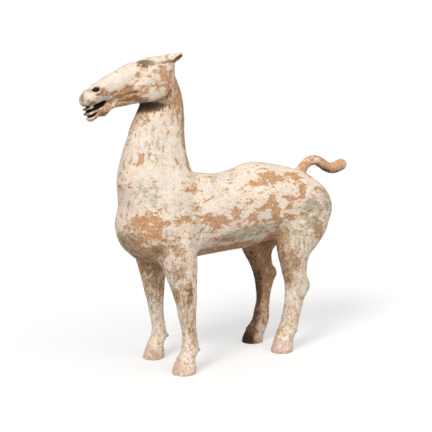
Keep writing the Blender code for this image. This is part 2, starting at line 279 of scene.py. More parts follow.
# The open mouth, seen from the side: y, z round each slot. The clay between them is teeth and gums.
UPPER_LIP_SLOT = (
    (-256, 420.6),
    (-249, 421.6),
    (-241, 423),
    (-236.5, 423.4),
    (-236.5, 421.6),
    (-241, 419.7),
    (-247.5, 418.2),
    (-256, 417.2),
)
MOUTH_SLOT = (
    (-256, 414.4),
    (-247, 415.8),
    (-240.5, 417.8),
    (-234.5, 420.4),
    (-232.5, 424.6),
    (-225, 428),
    (-217.5, 431.4),
    (-212, 430.8),
    (-212.3, 428.8),
    (-217, 424),
    (-225, 418.8),
    (-233, 415.8),
    (-240, 413),
    (-245, 411.4),
    (-256, 409),
)
LOWER_LIP_SLOT = (
    (-256, 407.6),
    (-242, 408.8),
    (-237, 410.6),
    (-231, 414),
    (-226.5, 416.4),
    (-228, 413),
    (-231, 409.2),
    (-235, 405.9),
    (-240.5, 404.6),
    (-256, 403.4),
)

# Lines pressed into the clay of the head (height below 0) or standing up from it. They are drawn on
# both sides, as seen from the side: height, width, then y, z along the line.
HEAD_LINES = (
    (1.6, 2.4, ((-170, 437), (-181, 433.8), (-192, 431.8), (-199, 428.6))),  # branch of the lower jaw
    (-1.8, 2.4, ((-168, 442.5), (-179, 440), (-189, 436), (-196, 433.5))),  # hollow over it
    (-1.0, 1.6, ((-198, 426.5), (-186, 429.5), (-168, 430.5))),
    (-1.3, 1.3, ((-162.5, 461.5), (-169, 456), (-173.5, 452), (-178, 450))),  # facial crest
    (1.0, 2.4, ((-165.5, 464), (-172, 459), (-178, 454.5), (-188, 452))),
    (1.0, 1.3, ((-194, 442.5), (-201.4, 438.2), (-206.5, 434), (-205, 430.5))),  # wrinkles of the lip
    (0.8, 1.3, ((-202, 446), (-208, 442.5), (-213, 439.5))),
    (-0.8, 1.2, ((-198, 443.5), (-204, 440), (-210, 436))),
    (1.3, 1.6, ((-237.5, 457), (-232, 458.6), (-226, 456), (-225, 449.5), (-228.5, 444.2), (-236, 442.6))),
    (-1.8, 1.7, ((-236, 440), (-229, 438.9), (-223.8, 441), (-220.3, 445.4), (-220, 450))),  # nostril wing
    (1.4, 1.3, ((-165.5, 481.5), (-161, 485.2), (-153.5, 485.6), (-147, 480.5))),  # eyelids
    (0.8, 1.2, ((-165, 480.4), (-158, 476.9), (-151.5, 476.8), (-145, 479.6))),
    (-1.2, 1.2, ((-166, 485), (-160, 488), (-150, 488.4), (-141, 487.4), (-133.5, 484.6))),
    (-0.8, 1.8, ((-167, 478.5), (-159, 474.4), (-150.5, 474.6), (-142, 478.5))),
    (-1.3, 1.5, ((-124, 486.4), (-116, 487), (-108, 488), (-101, 489))),  # root of the ear
)

# The same on the body: seam behind the foreleg, fold before the stifle, streaks down the neck
BODY_LINES = (
    (-1.3, 2.6, ((-85, 176), (-81, 196), (-77, 214), (-76, 232))),
    (-0.8, 2.4, ((60, 196), (70, 208), (84, 224), (92, 244))),
    (-0.7, 1.8, ((-84, 346), (-88, 376), (-94, 404), (-98, 430))),
    (-0.6, 1.5, ((-94, 340), (-99, 366), (-106, 398), (-110, 420))),
    (0.6, 1.8, ((-77, 352), (-80, 380), (-85, 410), (-88, 440))),
)

# Broad hollows in the head: depth, then y, z of the middle, half length, half height and tilt
HEAD_HOLLOWS = (
    (1.5, -186, 444.5, 20, 6.5, 12),
    (1.2, -128, 481, 8, 5, -10),
    (1.6, -169.5, 441.8, 3, 2.6, 0),
)

# Chips out of the edges of hooves, tail and ears: x, y, z of the middle, radius and depth
CHIPS = (
    (41, -120, 2, 6, 2.6),
    (57, -118, 0, 5, 1.6),
    (-43, -112, 0, 5, 1.4),
    (29, 88, 1, 5, 1.6),
    (50, 92, 0, 5, 1.8),
    (56, 104, 1, 4, 1.2),
    (-51, 86, 0, 5, 1.4),
    (8, 190, 309, 5, 1.3),
    (6, 226, 298, 5, 1.6),
    (7, 248, 294, 5, 1.4),
    (3, 204, 310, 6, 1.2),
    (20, -84, 503, 3.5, 0.8),
)

# Where the slip is lost on the left side: x, y, z of the middle, half sizes, tilt, and how bare it is
WORN_LEFT = (
    # point of the shoulder
    (44, -164, 247, 26, 20, 14, 10, 1.0),
    (52, -150, 236, 22, 12, 16, 0, 0.95),
    (28, -181, 238, 14, 12, 7, 0, 0.9),
    (57, -141, 244, 12, 14, 5, 0, 0.8),
    (40, -166, 221, 26, 16, 10, 0, 0.72),
    # along the flank
    (62, -98, 248, 16, 28, 5, 0, 0.76),
    (62, -54, 240, 20, 26, 10, -6, 0.95),
    (62, -46, 232, 20, 18, 5, 10, 0.85),
    (62, -12, 254, 16, 9, 9, 40, 0.75),
    (62, 21, 241, 20, 13, 7, 20, 0.82),
    (60, 47, 255, 16, 16, 5, 15, 0.72),
    # streak over the stifle
    (60, 66, 262, 20, 9, 12, 0, 0.85),
    (60, 70, 245, 20, 9, 12, 0, 0.98),
    (58, 80, 222, 20, 7, 16, 0, 0.7),
    (38, 86, 198, 32, 24, 12, 6, 0.9),
    # croup
    (44, 72, 301, 24, 16, 8, -4, 0.98),
    (48, 46, 294, 18, 18, 5, 6, 0.92),
    (42, 98, 298, 20, 14, 5, 0, 0.75),
    (41, 124, 299, 20, 14, 6, -10, 0.8),
    (55, 131, 277, 18, 8, 14, 0, 0.88),
    (60, 102, 266, 16, 14, 4.5, -4, 0.85),
    (61, 99, 252, 16, 9, 5, 0, 0.75),
    (60, 96, 235, 16, 13, 5, -30, 0.8),
    (50, 168, 274, 18, 9, 6, 0, 0.76),
    (58, 163, 205, 20, 10, 22, 20, 0.72),
    # belly, withers and neck
    (56, -28, 208, 16, 26, 3.5, -6, 0.85),
    (44, -20, 191, 26, 66, 7, 3, 0.85),
    (58, 20, 226, 16, 30, 3, 10, 0.5),
    (61, -68, 226, 14, 12, 6, 0, 0.7),
    (50, -88, 294, 18, 14, 7, 0, 0.46),
    (58, -86, 266, 14, 12, 7, 0, 0.4),
    (27, -162, 345, 7, 4, 7, 0, 0.95),
    (26, -168, 336, 7, 6, 4, 30, 0.9),
    (12, -181, 334, 10, 6, 7, 0, 0.4),
    (12, -180, 322, 12, 10, 10, 0, 0.28),
    (20, -89, 445, 16, 12, 36, -12, 0.72),
    (24, -80, 400, 14, 8, 44, 0, 0.72),
    (25, -82, 352, 14, 7, 44, 0, 0.6),
    (26, -112, 452, 10, 10, 20, 0, 0.75),
    # cheek and jaw
    (20, -158, 445, 16, 12, 8, 20, 0.88),
    (16, -186, 441, 14, 24, 7, 12, 0.74),
    (17, -170, 433, 14, 22, 5, 0, 0.72),
    (14, -206, 437, 14, 13, 8, 0, 0.62),
    (14, -196, 427, 14, 30, 5, 4, 0.66),
    (16, -222, 446, 14, 8, 7, 0, 0.5),
    (24, -114, 448, 14, 8, 20, 0, 0.66),
    (24, -122, 474, 14, 7, 9, 0, 0.62),
    (14, -214, 414, 14, 14, 8, 0, 0.66),
    # left legs
    (28, -158, 194, 34, 20, 12, 0, 0.75),
    (62, -118, 200, 14, 10, 8, 0, 0.66),
    (62, -118, 163, 14, 8, 10, 0, 0.68),
    (60, 122, 160, 18, 20, 16, 0, 0.45),
)

# Where it is lost on the legs of the right side, in the same columns
WORN_RIGHT = (
    (-30, 112, 150, 46, 60, 90, 0, 0.9),
    (-33, -116, 176, 34, 34, 30, 0, 0.8),
    (-42, -106, 124, 28, 24, 26, 0, 0.4),
)

# Where the slip on the left side is kept best, in the same columns
KEPT_LEFT = (
    (8, -200, 466, 30, 64, 13, 27, 1.0),
    (22, -150, 480, 20, 16, 10, 10, 0.7),
    (44, -142, 286, 30, 36, 36, 20, 1.0),
    (30, -134, 368, 22, 26, 40, 10, 0.8),
    (62, -24, 268, 16, 44, 12, 0, 0.7),
    (60, -30, 222, 16, 50, 7, 4, 0.5),
    (4, 198, 324, 20, 12, 6, -10, 1.6),
    (6, 264, 309, 14, 6, 8, 0, 1.2),
)

# Grey and green crust: x, y, z of the middle, half sizes, tilt and strength
GREY_STAINS = (
    (60, 150, 238, 30, 24, 32, 20, 0.7),
    (46, 190, 252, 34, 18, 32, 0, 0.7),
    (58, 172, 216, 26, 22, 20, 0, 0.5),
    (58, 18, 217, 22, 64, 10, 6, 0.76),
    (14, -184, 216, 22, 16, 16, 0, 0.85),
    (60, 116, 196, 26, 32, 26, 0, 0.55),
    (60, 104, 160, 20, 20, 20, 0, 0.6),
    (44, -160, 290, 24, 22, 26, 30, 0.5),
    (30, -140, 356, 22, 20, 44, 16, 0.46),
    (20, -150, 489, 14, 17, 5.5, -6, 1.2),
    (20, -119, 487.5, 14, 15, 3, 8, 0.7),
    (17, -106, 502, 14, 9, 3, 20, 0.85),
    (4, -253, 436, 16, 6, 9, -20, 0.95),
    (30, -30, 304, 40, 26, 5, 6, 0.5),
    (58, -20, 262, 16, 30, 12, 0, 0.34),
    (60, -112, 268, 16, 16, 16, 0, 0.36),
    (26, -142, 462, 14, 14, 7, 0, 0.45),
    (58, -120, 185, 18, 18, 26, 0, 0.45),
    (58, -124, 136, 14, 9, 22, 0, 0.6),
)

# Brown soil in the same columns. Some rows are painted shade as well: under the jaw and cheek, down the
# front of the neck, under the breast and on legs in the shade of the body
SOIL_AND_SHADE_STAINS = (
    # throat, jaw, and the neck behind the cheek: the first two rows are painted shade under the head, over
    # soil
    (0, -142, 419, 44, 30, 8, 8, 1.35),
    (10, -156, 404, 26, 12, 14, 0, 0.6),
    (24, -122, 426, 16, 16, 7, 0, 0.8),
    (22, -96, 446, 16, 13, 40, -12, 0.5),
    (24, -84, 396, 14, 9, 40, 0, 0.5),
    (18, -172, 432, 16, 34, 7, 4, 0.42),
    (20, -184, 444, 16, 20, 9, 12, 0.3),
    (12, -226, 441, 16, 10, 6, 0, 0.55),
    (4, -246, 415, 20, 7, 9, 0, 1.0),
    (6, -226, 411, 18, 12, 8, -20, 0.6),
    (6, -236, 426, 18, 8, 4, -20, 0.9),
    # painted shade down the front of the neck under the throat, over soil
    (2, -164, 394, 14, 5.5, 26, -24, 0.6),
    # painted shade under the back edge of the cheek, over soil
    (26, -112, 439, 12, 4.5, 13, -40, 0.85),
    (26, -108, 423, 16, 8, 10, 20, 0.8),
    (14, -238.5, 446.5, 16, 5, 4, 0, 0.65),
    (10, -214, 411, 14, 14, 7, 0, 0.6),
    (24, -132, 474, 12, 10, 8, 0, 0.34),
    (20, -156, 481.5, 14, 9, 5, 0, 0.72),
    # under the breast: soil, and painted shade under the body
    (16, -178, 210, 26, 16, 14, 0, 0.66),
    (50, -146, 200, 14, 18, 11, 0, 0.85),
    (10, -146, 180, 44, 30, 12, 0, 0.6),
    # belly and groin
    (56, -30, 196, 26, 70, 9, 4, 0.2),
    (0, 0, 178, 60, 90, 8, 0, 0.2),
    (44, 84, 198, 26, 20, 10, 0, 0.36),
    (60, 150, 205, 22, 18, 22, 0, 0.36),
    # left front leg
    (60, -130, 214, 18, 16, 20, 0, 0.52),
    (62, -118, 176, 18, 18, 28, 0, 0.4),
    (63, -106, 126, 16, 14, 28, 0, 0.66),
    (66, -101, 130, 10, 6, 20, 0, 0.95),
    (63, -98, 86, 16, 12, 24, 0, 0.55),
    (61, -89, 56, 12, 8, 18, 0, 0.62),
    (54, -119, 124, 12, 5, 16, 0, 0.85),
    (52, -98, 34, 24, 24, 30, 0, 0.34),
    # right front leg
    (-33, -116, 160, 34, 34, 28, 0, 0.3),
    (-42, -106, 122, 28, 24, 26, 0, 0.5),
    (-44, -98, 88, 24, 20, 14, 0, 0.36),
    # left hind leg: soil, and painted shade down its front edge
    (44, 106, 158, 30, 24, 30, 0, 0.5),
    (60, 116, 152, 14, 9, 16, 0, 0.72),
    (34, 98, 104, 16, 12, 40, 0, 0.7),
    (40, 97, 168, 18, 9, 24, 14, 0.8),
    (43, 108, 134, 18, 9, 26, 8, 0.8),
    (58, 118, 104, 14, 16, 24, 0, 0.4),
    (52, 100, 176, 20, 12, 12, 0, 0.5),
    (48, 112, 60, 22, 22, 30, 0, 0.44),
    (34, 102, 36, 16, 14, 12, 0, 0.6),
    # right hind leg: soil, and painted shade where it stands under the body
    (-30, 112, 122, 46, 60, 110, 0, 0.38),
    (-38, 90, 150, 30, 9, 26, 16, 0.95),
    (-40, 103, 114, 30, 8, 22, 8, 1.05),
    (-40, 106, 84, 30, 8, 26, 0, 1.2),
    (-42, 100, 48, 30, 9, 22, -14, 1.25),
    (-42, 91, 24, 30, 9, 12, 0, 1.3),
    (-34, 108, 40, 34, 12, 20, -14, 0.62),
    (-30, 104, 188, 40, 40, 10, 0, 0.7),
    (-38, 76, 8, 26, 13, 16, 0, 2.4),
    (-34, 92, 4, 26, 14, 9, 0, 0.75),
    # tail
    (6, 190, 304, 16, 9, 6, 0, 0.6),
    (4, 210, 305, 20, 12, 5, -20, 0.9),
    (0, 224, 299, 20, 14, 5, -30, 1.0),
    (0, 247, 293, 20, 12, 5, 0, 1.1),
)

# Nearly black dirt and painted shade in the same columns, all on the right hind leg, which stands under
# the body
BLACK_DIRT_AND_SHADE = (
    (-38, 77, 8, 26, 14, 17, 0, 0.85),
    (-42, 98, 46, 30, 8, 26, -14, 0.3),
    (-40, 104, 98, 30, 7, 36, 0, 0.25),
)

# The nostrils in the same columns, where the painted shade inside starts nearer the skin
NOSTRIL_MOUTHS = (
    (14, -233, 451, 12, 6, 6, 0, 1.3),
    (-14, -233, 451, 12, 6, 6, 0, 1.3),
)

# Small dark spots on the left side of the head: the pupil, and painted shade in the corners of the
# eye and the pits round it, as y, z, radius and strength
DARK_SPOTS = (
    (-154.6, 482.4, 3, 0.9),
    (-158.4, 481.4, 2.2, 0.8),
    (-149.8, 480, 2.4, 0.7),
    (-163, 483.2, 2, 0.6),
    (-160.5, 485.4, 1.5, 0.6),
    (-156, 486.2, 1.5, 0.6),
    (-151.5, 485, 1.5, 0.6),
    (-132.5, 479.1, 1.3, 0.6),
)

# How far under the uncut skin the painted shade in the mouth and nostrils begins, and where it is full
DARK_FROM = 1.8
DARK_FULL = 3.6


# ---- clay ----


def curve_through(rows, steps=6):
    """Rows of numbers joined by a Catmull-Rom curve, with some steps from each row to the next."""
    rows = np.array(rows, float)
    padded = np.vstack([2 * rows[0] - rows[1], rows, 2 * rows[-1] - rows[-2]])
    found = []
    for a, b, c, d in zip(padded, padded[1:], padded[2:], padded[3:]):
        for step in range(steps):
            t = step / steps
            found.append(
                b
                + 0.5 * t * (c - a)
                + t**2 * (a - 2.5 * b + 2 * c - 0.5 * d)
                + t**3 * (1.5 * b - 0.5 * a - 1.5 * c + 0.5 * d)
            )
    return found + [rows[-1]]


def oval(middle, side, rise, half_width, above, below, fullness=2.0):
    """A ring of points: half_width each way along side, above along rise and below against it.

    A fullness of 2 gives ellipses, and more gives squarer shoulders.
    """
    middle, side, rise = Vector(middle), Vector(side), Vector(rise)
    ring = []
    for k in range(RING_POINTS):
        angle = 2 * math.pi * k / RING_POINTS
        c, s = math.cos(angle), math.sin(angle)
        across = half_width * math.copysign(abs(c) ** (2 / fullness), c)
        height = (above if s > 0 else below) * math.copysign(abs(s) ** (2 / fullness), s)
        ring.append(middle + side * across + rise * height)
    return ring


def add_tube(clay, rings):
    """A closed tube through rings of equal count."""
    rows = [[clay.verts.new(point * MM) for point in ring] for ring in rings]
    count = len(rows[0])
    faces = [clay.faces.new(rows[0]), clay.faces.new(rows[-1])]
    for low, high in zip(rows, rows[1:]):
        for k in range(count):
            n = (k + 1) % count
            faces.append(clay.faces.new((low[k], low[n], high[n], high[k])))
    bmesh.ops.recalc_face_normals(clay, faces=faces)


def add_lump(clay, middle, radii, turn=(0, 0, 0)):
    """An egg shaped lump, turned by angles in degrees about X, Y and Z."""
    made = bmesh.ops.create_icosphere(clay, subdivisions=4, radius=1)["verts"]
    place = Matrix.Translation(Vector(middle) * MM)
    for axis, angle in zip("XYZ", turn):
        place = place @ Matrix.Rotation(math.radians(angle), 4, axis)
    place = place @ Matrix.Diagonal(Vector(radii) * MM).to_4x4()
    bmesh.ops.transform(clay, matrix=place, verts=made)


def add_limb(clay, stations, squash=1.0):
    """A tube along stations of (middle, radius), with its rings square to its own path.

    squash is the share of the radius that the tube has across the horse.
    """
    side = Vector(LEFT)
    rings = []
    for k, (middle, radius) in enumerate(stations):
        after = stations[min(k + 1, len(stations) - 1)][0]
        before = stations[max(k - 1, 0)][0]
        rise = (after - before).cross(side).normalized()
        rings.append(oval(middle, side, rise, radius * squash, radius, radius))
    add_tube(clay, rings)


def add_trunk(clay, table, fullness):
    """A tube along the horse. A table without its last column is widest halfway up."""
    rings = []
    for y, top, bottom, half, *given in curve_through(table):
        widest = given[0] if given else 0.5 * (top + bottom)
        rings.append(oval((0, y, widest), LEFT, UP, half, top - widest, widest - bottom, fullness))
    add_tube(clay, rings)


def add_neck(clay):
    rings = []
    for z, front, back, half in curve_through(NECK):
        widest = front + 0.56 * (back - front)
        middle = (0, widest, z)
        rings.append(oval(middle, LEFT, BACK, half, back - widest, widest - front, 2.1))
    add_tube(clay, rings)


def add_leg(clay, table, hoof, girth=1.0, spread=1.0, lean=0.0):
    """A leg down to its hoof, which runs on under the ground and is cut there.

    girth thickens the leg, spread widens the hoof, and lean moves the leg back by that share
    of its height.
    """
    x, y = hoof
    out = math.copysign(1, x)
    rings = []
    for z, shift, inward, half, depth in curve_through(table):
        middle = (x - out * inward, y + shift + lean * z, z)
        rings.append(oval(middle, LEFT, BACK, half * girth, depth * girth, depth * girth))
    add_tube(clay, rings)
    rings = []
    for z, share in curve_through(HOOF, 4):
        radius = HOOF_RADIUS * spread * share
        middle = (x, y - TOE_LEAN * (HOOF_MIDDLE - z), z)
        rings.append(oval(middle, LEFT, BACK, radius, radius, radius, 2.2))
    add_tube(clay, rings)


def add_tuft(clay, hoof, root, tip):
    """The pointed lock of hair behind a fetlock. root and tip are y, z, with y from the hoof."""
    x, y = hoof
    stations = []
    for t, radius in ((0, 9), (0.4, 6.4), (0.75, 4.2), (1, 2.4)):
        back = root[0] + t * (tip[0] - root[0])
        height = root[1] + t**0.7 * (tip[1] - root[1])
        stations.append((Vector((x, y + back, height)), radius))
    add_limb(clay, stations)


def add_hock(clay, hoof, back, height):
    """The point of a hock."""
    x, y = hoof
    add_lump(clay, (x, y + back - 9, height), (7.5, 10.5, 15), (12, 0, 0))


def add_tail(clay):
    stations = [(Vector((0, y, z)), TAIL_RADIUS * share) for y, z, share in curve_through(TAIL)]
    add_limb(clay, stations)
    add_lump(clay, stations[-1][0] - Vector((0, 3, 0)), (TAIL_RADIUS * 1.12, 10, TAIL_RADIUS * 1.15))


def add_face(clay):
    """Cheeks, brows, eyes, nostril rims, jaw ridges and ears on both sides, and the chin."""
    brow = curve_through(BROW, 4)
    for out, drop in ((1, 0), (-1, RIGHT_BROW_DROP)):
        add_cheek(clay, out)
        add_limb(clay, [(Vector((out * x, y, z - drop)), radius) for x, y, z, radius in brow])
        add_lump(clay, (out * 18.5, -156, 481 - drop), (5.6, 7, 4.2), (14, 0, 0))  # eye
        add_lump(clay, (out * 12, -230, 444), (7.5, 9.5, 8))  # rim of the nostril
        add_lump(clay, (out * 15, -188, 439.5), (4, 28, 3.5), (-6, 0, 0))  # ridge along the jaw
        add_ear(clay, out)
    add_limb(clay, [(Vector((0, y, z)), radius) for y, z, radius in CHIN], 1.7)


def add_cheek(clay, out):
    """The pad of one cheek. out is 1 on the left side and -1 on the right, as for add_ear."""
    middle = np.mean(CHEEK, axis=0)
    outline = curve_through(CHEEK + CHEEK[:1], 5)[:-1]
    rings = []
    for x, share in curve_through(CHEEK_DOME, 4):
        rings.append([Vector((out * x, *(middle + share * (place - middle)))) for place in outline])
    add_tube(clay, rings)


def add_ear(clay, out):
    side = Vector((out, 1, 1))
    lower = Vector((0, 0, RIGHT_EAR_DROP if out < 0 else 0))
    root, tip = Vector(EAR_ROOT) * side - lower, Vector(EAR_TIP) * side - lower
    rise = Vector((0, -0.3, 1)).normalized()
    rings = []
    for t, radius in curve_through(EAR, 4):
        middle = root + (tip - root) * t
        rings.append(oval(middle, LEFT, rise, radius * 0.8, radius, radius))
    add_tube(clay, rings)


# ---- from clay to one skin ----


def linked(name, mesh):
    """A new object in the scene."""
    thing = bpy.data.objects.new(name, mesh)
    bpy.context.scene.collection.objects.link(thing)
    return thing


def mesh_of(name, shape):
    """A mesh made from a bmesh, which is freed."""
    mesh = bpy.data.meshes.new(name)
    shape.to_mesh(mesh)
    shape.free()
    return mesh


def with_modifiers(name, mesh, *modifiers):
    """The mesh after each modifier, given as (kind, {setting: value})."""
    thing = linked(name, mesh)
    for kind, settings in modifiers:
        modifier = thing.modifiers.new(kind.lower(), kind)
        for key, value in settings.items():
            setattr(modifier, key, value)
    graph = bpy.context.evaluated_depsgraph_get()
    done = bpy.data.meshes.new_from_object(thing.evaluated_get(graph))
    bpy.data.objects.remove(thing)
    return done


def remeshed(name, mesh, step):
    return with_modifiers(name, mesh, ("REMESH", {"mode": "VOXEL", "voxel_size": step * MM}))


def triples(items, key):
    flat = np.empty(len(items) * 3, np.float32)
    items.foreach_get(key, flat)
    return flat.reshape(-1, 3).astype(np.float64)


def points_of(mesh):
    """The points of a mesh in millimetres."""
    return triples(mesh.vertices, "co") / MM


def normals_of(mesh):
    return triples(mesh.vertex_normals, "vector")


def set_points(mesh, points):
    mesh.vertices.foreach_set("co", (points * MM).astype(np.float32).ravel())
    mesh.update()


def ramp(value, start, end):
    """0 up to start, 1 from end on."""
    return np.clip((value - start) / (end - start), 0, 1)


def body_softness(points):
    """How much the skin is smoothed, from 0 on the head, hooves and tail to 1 on the body."""
    y, z = points[:, 1], points[:, 2]
    head = ramp(z, 385, 425) * ramp(-y, 100, 115)
    ear = ramp(z, 482, 490)
    foot = ramp(-z, -60, -30)
    tail = ramp(y, 170, 185) * ramp(z, 285, 300)
    return 1 - np.maximum.reduce([head, ear, foot, tail])


def eased(mesh, times, weight):
    """The points, each moved towards the mean of its neighbours, times over, by half of its weight."""
    edges = np.empty(len(mesh.edges) * 2, np.int32)
    mesh.edges.foreach_get("vertices", edges)
    a, b = edges.reshape(-1, 2).T
    points = points_of(mesh)
    count = np.bincount(a, minlength=len(points)) + np.bincount(b, minlength=len(points))
    share = (0.5 * weight / count)[:, None]
    for _ in range(times):
        pull = np.empty_like(points)
        for axis in range(3):
            line = points[:, axis]
            pull[:, axis] = np.bincount(a, line[b], len(points)) + np.bincount(b, line[a], len(points))
        points = points + share * (pull - count[:, None] * points)
    return points


def smoothed(mesh, times, weight=1.0):
    set_points(mesh, eased(mesh, times, weight * np.ones(len(mesh.vertices))))


def laid_up():
    """The whole horse as fused clay, smooth where limbs meet the body."""
    clay = bmesh.new()
    add_trunk(clay, BARREL, 2.15)
    add_lump(clay, (0, 206, 235), (34, 22, 30))  # rump
    add_neck(clay)
    add_leg(clay, FRONT_LEG, LEFT_FRONT_HOOF)
    add_leg(clay, FRONT_LEG, RIGHT_FRONT_HOOF, girth=0.96, spread=0.91, lean=-0.018)
    add_leg(clay, LEFT_HIND_LEG, LEFT_HIND_HOOF, spread=0.97)
    add_leg(clay, RIGHT_HIND_LEG, RIGHT_HIND_HOOF, spread=0.97)
    for hoof in (LEFT_FRONT_HOOF, RIGHT_FRONT_HOOF):
        add_tuft(clay, hoof, (9, 42), (30, 33))
    for hoof in (LEFT_HIND_HOOF, RIGHT_HIND_HOOF):
        add_tuft(clay, hoof, (11, 41), (33, 30))
    add_hock(clay, LEFT_HIND_HOOF, 58, 111)
    add_hock(clay, RIGHT_HIND_HOOF, 51, 120)
    add_tail(clay)
    add_trunk(clay, SKULL, 2.3)
    add_trunk(clay, LOWER_JAW, 2.4)
    add_face(clay)
    skin = remeshed("clay", mesh_of("clay", clay), ROUGH_STEP)
    softness = body_softness(points_of(skin))
    smoothed(skin, 3)
    smoothed(skin, 60, softness)
    return skin


def prism(shape, outline, half_width):
    """A slab across the horse, with its side outline given as y, z."""
    left = [shape.verts.new(Vector((half_width, y, z)) * MM) for y, z in outline]
    right = [shape.verts.new(Vector((-half_width, y, z)) * MM) for y, z in outline]
    faces = [shape.faces.new(left), shape.faces.new(right)]
    for k in range(len(outline)):
        n = (k + 1) % len(outline)
        faces.append(shape.faces.new((left[k], left[n], right[n], right[k])))
    bmesh.ops.recalc_face_normals(shape, faces=faces)


def without(name, mesh, *tools):
    """The mesh with the shape of each tool cut away."""
    for tool in tools:
        cutter = linked("cutter", tool)
        settings = {"operation": "DIFFERENCE", "solver": "EXACT", "object": cutter}
        mesh = with_modifiers(name, mesh, ("BOOLEAN", settings))
        bpy.data.objects.remove(cutter)
    return mesh


def mouth_hollow():
    """Three slots, open at the front and both sides, round the clay in the middle of the mouth."""
    slots = bmesh.new()
    for outline in (UPPER_LIP_SLOT, MOUTH_SLOT, LOWER_LIP_SLOT):
        prism(slots, outline, 30)
    tongue = bmesh.new()
    add_lump(tongue, (0, -216, 417), (4, 27, 22))
    return without("mouth", mesh_of("slots", slots), mesh_of("tongue", tongue))


def hollows(name, middle, radii, tilt, outward):
    """An egg shaped hollow on each side, turned by tilt about X and by outward away from the middle."""
    x, y, z = middle
    pair = bmesh.new()
    for out in (1, -1):
        add_lump(pair, (out * x, y, z), radii, (tilt, 0, out * outward))
    return mesh_of(name, pair)


def below_ground():
    """A block that reaches from the ground down."""
    below = bmesh.new()
    bmesh.ops.create_cube(below, size=1)
    bmesh.ops.scale(below, vec=Vector((300, 500, 60)) * MM, verts=below.verts)
    bmesh.ops.translate(below, vec=Vector((0, 0, -30)) * MM, verts=below.verts)
    return mesh_of("below_ground", below)


# ---- marks in the clay ----


def fade(value, start, end):
    """A smooth step: 0 up to start, 1 from end on."""
    t = ramp(value, start, end)
    return t * t * (3 - 2 * t)


def ripple(points, size, seed):
    """Smooth noise between about -1 and 1, with swells of one size."""
    scaled = points / size + 17.3 * seed
    return np.array([noise.noise(place) for place in scaled.tolist()])


def from_path(points, path):
    """How far each side-view point is from a smooth path, and its share of the way along."""
    path = np.array(curve_through(path))
    nearest = np.full(len(points), np.inf)
    share = np.zeros(len(points))
    for k in range(len(path) - 1):
        start, run = path[k], path[k + 1] - path[k]
        t = np.clip((points - start) @ run / (run @ run), 0, 1)
        away = np.linalg.norm(points - start - t[:, None] * run, axis=1)
        closer = away < nearest
        nearest[closer] = away[closer]
        share[closer] = (k + t[closer]) / (len(path) - 1)
    return nearest, share


def line_heights(points, lines):
    """Height of the lines at each point. They run out at both ends."""
    heights = np.zeros(len(points))
    for height, width, path in lines:
        path = np.array(path, float)
        reach = 3 * width
        near = ((points[:, 1:] > path.min(0) - reach) & (points[:, 1:] < path.max(0) + reach)).all(1)
        away, share = from_path(points[near, 1:], path)
        ends = fade(share, 0, 0.12) * fade(-share, -1, -0.88)
        heights[near] += height * np.exp(-((away / width) ** 2)) * ends
    return heights


def tilted(points, middle, half_sizes, tilt):
    """Square of the distance from the middle in half sizes, which are tilted up at the back."""
    offset = points - middle
    c, s = math.cos(math.radians(tilt)), math.sin(math.radians(tilt))
    along = offset[:, 1] * c + offset[:, 2] * s
    across = offset[:, 2] * c - offset[:, 1] * s
    x, y, z = half_sizes
    return (offset[:, 0] / x) ** 2 + (along / y) ** 2 + (across / z) ** 2


def covered(points, spots):
    """How strongly the spots mark each point: full in the middle of a spot, nothing past its edge."""
    found = np.zeros(len(points))
    for x, y, z, half_x, half_y, half_z, tilt, strength in spots:
        far = tilted(points, (x, y, z), (half_x, half_y, half_z), tilt)
        found = np.maximum(found, strength * fade(-far, -2.3, -0.1))
    return found


def on_head(points):
    """1 on the head, fading to 0 down the neck."""
    return fade(points[:, 2], 405, 425) * fade(-points[:, 1], 70, 90)


def upright(points):
    """1 on the neck and legs, where marks run up and down, and 0 on the barrel and head."""
    y, z = points[:, 1], points[:, 2]
    neck = fade(z, 300, 340) * fade(-y, 40, 80) * (1 - 0.85 * fade(z, 412, 430) * fade(-y, 108, 124))
    return np.maximum(neck, fade(-z, -205, -185))


def speckle(points, length):
    """Noise of three sizes, drawn out along the barrel, and up and down on the neck and legs."""
    stretch = 1 + 1.2 * upright(points)[:, None] * (0, -0.45, 1) + (0, 1, 0)
    places = points / stretch
    return sum(ripple(places, length / 2**k, 3 + k) / 1.6**k for k in range(3))


def bareness(points):
    """How bare of slip each point is, before the finish breaks it up: from 0 to about 1."""
    y, z = points[:, 1], points[:, 2]
    left = points[:, 0] > 0
    worn = 0.15 + 0.62 * np.where(left, covered(points, WORN_LEFT), covered(points, WORN_RIGHT))
    worn = worn - np.where(left, 0.16 * covered(points, KEPT_LEFT), 0)
    tail = 0.6 * fade(y, 160, 168) * fade(z, 290, 300)
    legs = 0.03 * fade(-z, -170, -130)
    head = 0.07 * fade(z, 410, 430)
    return worn + tail - legs + head + 0.26 * speckle(points, 11)


def from_hoof(points, hoof):
    """Height of the edge of the hair above each point, how far forward it is, and if it is near."""
    x, y = hoof
    across, along, z = points[:, 0] - x, points[:, 1] - y, points[:, 2]
    away = np.hypot(across, along)
    forward = -along / np.maximum(away, 0.1)
    edge = HAIR_EDGE + 5 * np.maximum(forward, 0) ** 2 + 2 * np.minimum(forward, 0) ** 2
    return edge - z + 0.9 * ripple(points, 6, 8), forward, (away < 36) & (z < 60)


def foot_heights(points):
    """The step from hair to hoof, folds in the skin over it, and growth rings in the hoof."""
    heights = np.zeros(len(points))
    for hoof in HOOVES:
        under, forward, near = from_hoof(points, hoof)
        step = 0.9 * np.exp(-(((under + 3) / 3) ** 2)) - 1.0 * np.exp(-(((under - 0.6) / 1.3) ** 2))
        folds = 0.22 * np.sin((points[:, 2] + 3 * forward) * 2 * np.pi / FOLD_GAP) * fade(under, -26, -20)
        folds = folds * fade(-under, 4, 8)
        rings = 0.12 * np.sin(points[:, 2] * 2 * np.pi / RING_GAP) * fade(under, 2, 5)
        heights += near * (step + folds + rings)
    return heights


